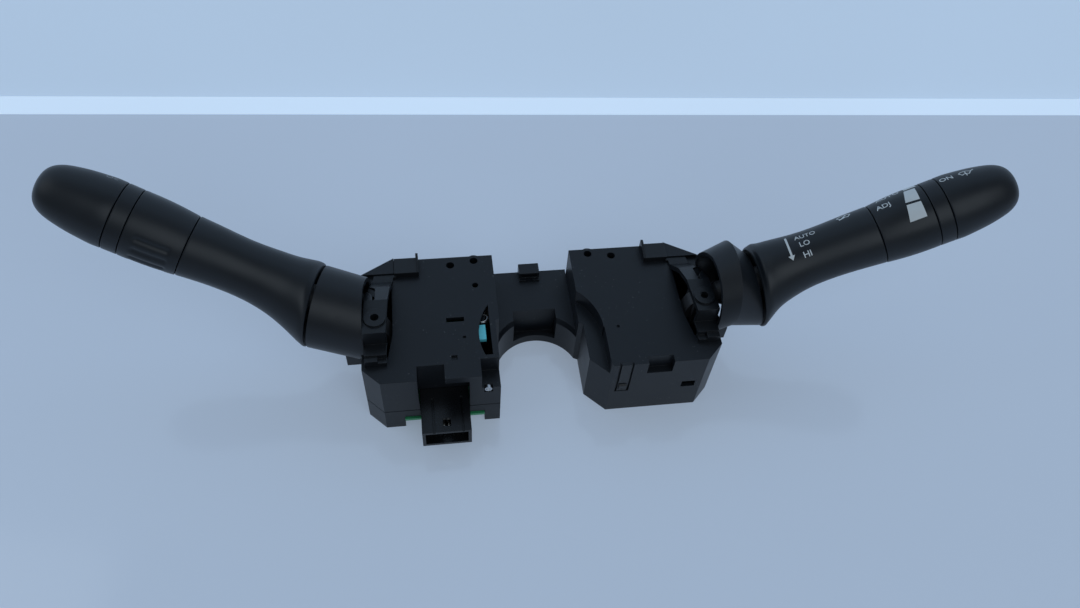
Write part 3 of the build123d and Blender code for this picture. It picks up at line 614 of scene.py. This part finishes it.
LEVER_MARKS = {
    "auto_mark": (letters("AUTO", 2.6), 53.2, 76),
    "low_mark": (letters("LO", 2.8), 54.2, 96.5),
    "high_mark": (letters("HI", 3.1), 54.1, 121),
    "arrow_mark": (stroke([(0, 0.4), (-0.4, -11.2)], 0.95) +
                   [[(-2.0, -10.9), (1.1, -10.9), (-0.45, -13.2)]], 49.6, 62),
    "wiper_mark": (stroke(windscreen(6.4, 2.6), 0.45) + stroke([(-1.2, -0.6), (1.6, 2.6)], 0.6) +
                   stroke([(-2.6, -1.1), (0.2, -0.3)], 0.5), 77.6, 60)}
SLEEVE_MARKS = {"auto_adjust_mark": (letters("AUTO", 2.9), 93.2, 53),
                "adjust_mark": (letters("ADJ", 2.9), 91.6, 79.5)}
BLOCKS = {"block_small": ((106.5, 37), (111.6, 37), (111.9, 52), (106.4, 51)),
          "block_middle": ((105.9, 56.5), (110.7, 58.5), (109.9, 90.5), (103.7, 88)),
          "block_large": ((103.6, 93), (109.8, 95), (109.6, 124), (102.0, 124))}
KNOB_MARKS = {"on_mark": (letters("ON", 2.8), 121.0, 72),
              "washer_mark": (stroke(windscreen(5.2, 2.3), 0.4) +
                              stroke([(0.2, -1.6), (0.2, 1.9)], 0.45) +
                              stroke([(2.4, 1.2), (4.2, 2.4)], 0.45), 132.4, 69)}
for name, (flat, along, angle) in LEVER_MARKS.items():
    wrapped(name, "right", flat, along, angle, "right_stalk", legend_grey)
for name, (flat, along, angle) in SLEEVE_MARKS.items():
    wrapped(name, "right", flat, along, angle, "rain_sleeve", legend_grey)
for name, corners in BLOCKS.items():
    block_r = skin_radius("right", np.array([BLOCK_R_AT]))[0][0]
    outline = [(s - BLOCK_AT, -radians(a) * block_r) for s, a in corners]
    wrapped(name, "right", [outline], BLOCK_AT, 0, "rain_sleeve", legend_grey)
for name, (flat, along, angle) in KNOB_MARKS.items():
    wrapped(name, "right", flat, along, angle, "rear_knob", legend_grey)
lamp_sign = stroke(arc((0, 0), 1.2, 90, -90), 0.4) + stroke([(0, 1.2), (-1.0, 0.8), (-1.0, -0.8),
                                                           (0, -1.2)], 0.4)
for k in range(3):
    lamp_sign += stroke([(-1.7, 0.9 - 0.9 * k), (-3.4, 0.6 - 0.9 * k)], 0.35)
wrapped("lamp_mark", "left", lamp_sign, 127.5, 52, "lamp_knob", legend_faint)
print("legends printed")

# %% [markdown]
# ## The studio
# The unit lies on a pale, slightly glossy table with a pale wall behind it. A big soft light
# stands over the near side, and a weaker one on the left, so the black plastic shows broad
# highlights along the stalks.

# %% Studio
BACK_Y, BACK_SLOPE = 0.197, -0.0626      # the table's back edge: y = BACK_Y + BACK_SLOPE * x
STRIP = 0.0095                           # pale coved strip where the table meets the wall


def back(x, beyond=0.0):
    """Point on the back edge at x, or beyond it by so much."""
    return x, BACK_Y + BACK_SLOPE * x + beyond


def sheet(name, corners, material):
    mesh = bpy.data.meshes.new(name)
    mesh.from_pydata(corners, [], [(0, 1, 2, 3)])
    mesh.materials.append(material)
    obj = bpy.data.objects.new(name, mesh)
    bpy.context.scene.collection.objects.link(obj)
    return obj


def stage_finish(name, colour, shine, glow):
    """Painted board that also glows a little, so that it stays pale under a weak light."""
    s = Shader(name)
    cloud = s.noise(0.4, 2.0)
    paint = s.colours(cloud, colour, tuple(c * 0.93 for c in colour))
    return s.finish(Base_Color=paint, Roughness=shine, Emission_Color=paint, Emission_Strength=glow)


LOW, RAISED = -0.0002, 0.0058            # the table's height, and the strip's far edge
HALF, WALL_TOP = 3, 3                    # half the width of the stage, and the wall's height
GLOW = 0.5


def edge(x, height, beyond=0.0):
    """Corner on the table's back edge, or beyond it, at that height."""
    return *back(x, beyond), height


sheet("table", [(-HALF, -HALF, LOW), (HALF, -HALF, LOW), edge(HALF, LOW), edge(-HALF, LOW)],
      stage_finish("table_pale", (0.36, 0.43, 0.53), 0.12, GLOW))
sheet("strip", [edge(-HALF, LOW), edge(HALF, LOW), edge(HALF, RAISED, STRIP), edge(-HALF, RAISED, STRIP)],
      stage_finish("strip_pale", (0.62, 0.76, 0.92), 0.4, GLOW))
sheet("wall", [edge(-HALF, RAISED, STRIP), edge(HALF, RAISED, STRIP), edge(HALF, WALL_TOP, 0.5),
               edge(-HALF, WALL_TOP, 0.5)],
      stage_finish("wall_pale", (0.48, 0.60, 0.74), 0.5, GLOW))


def soft_light(name, place, aim, size, power):
    lamp = bpy.data.lights.new(name, "AREA")
    lamp.shape, lamp.size, lamp.energy = "SQUARE", size, power
    lamp.color = (0.80, 0.91, 1.0)
    obj = bpy.data.objects.new(name, lamp)
    obj.location = place
    obj.rotation_euler = (Vector(aim) - Vector(place)).to_track_quat("-Z", "Y").to_euler()
    bpy.context.scene.collection.objects.link(obj)
    return obj


soft_light("key", (0.2, -0.75, 0.85), (0, 0, 0), 0.9, 3.6)
soft_light("fill", (-1.0, 0.1, 0.9), (0, 0, 0), 0.9, 2.0)
world = bpy.data.worlds.new("studio")
world.use_nodes = True
world.node_tree.nodes["Background"].inputs["Color"].default_value = (0.76, 0.87, 1.0, 1)
world.node_tree.nodes["Background"].inputs["Strength"].default_value = 0.24
bpy.context.scene.world = world
print("studio ready")

# %% [markdown]
# ## Finish
# The last cell prints that the scene is ready.

# %% Finish
print("scene ready")
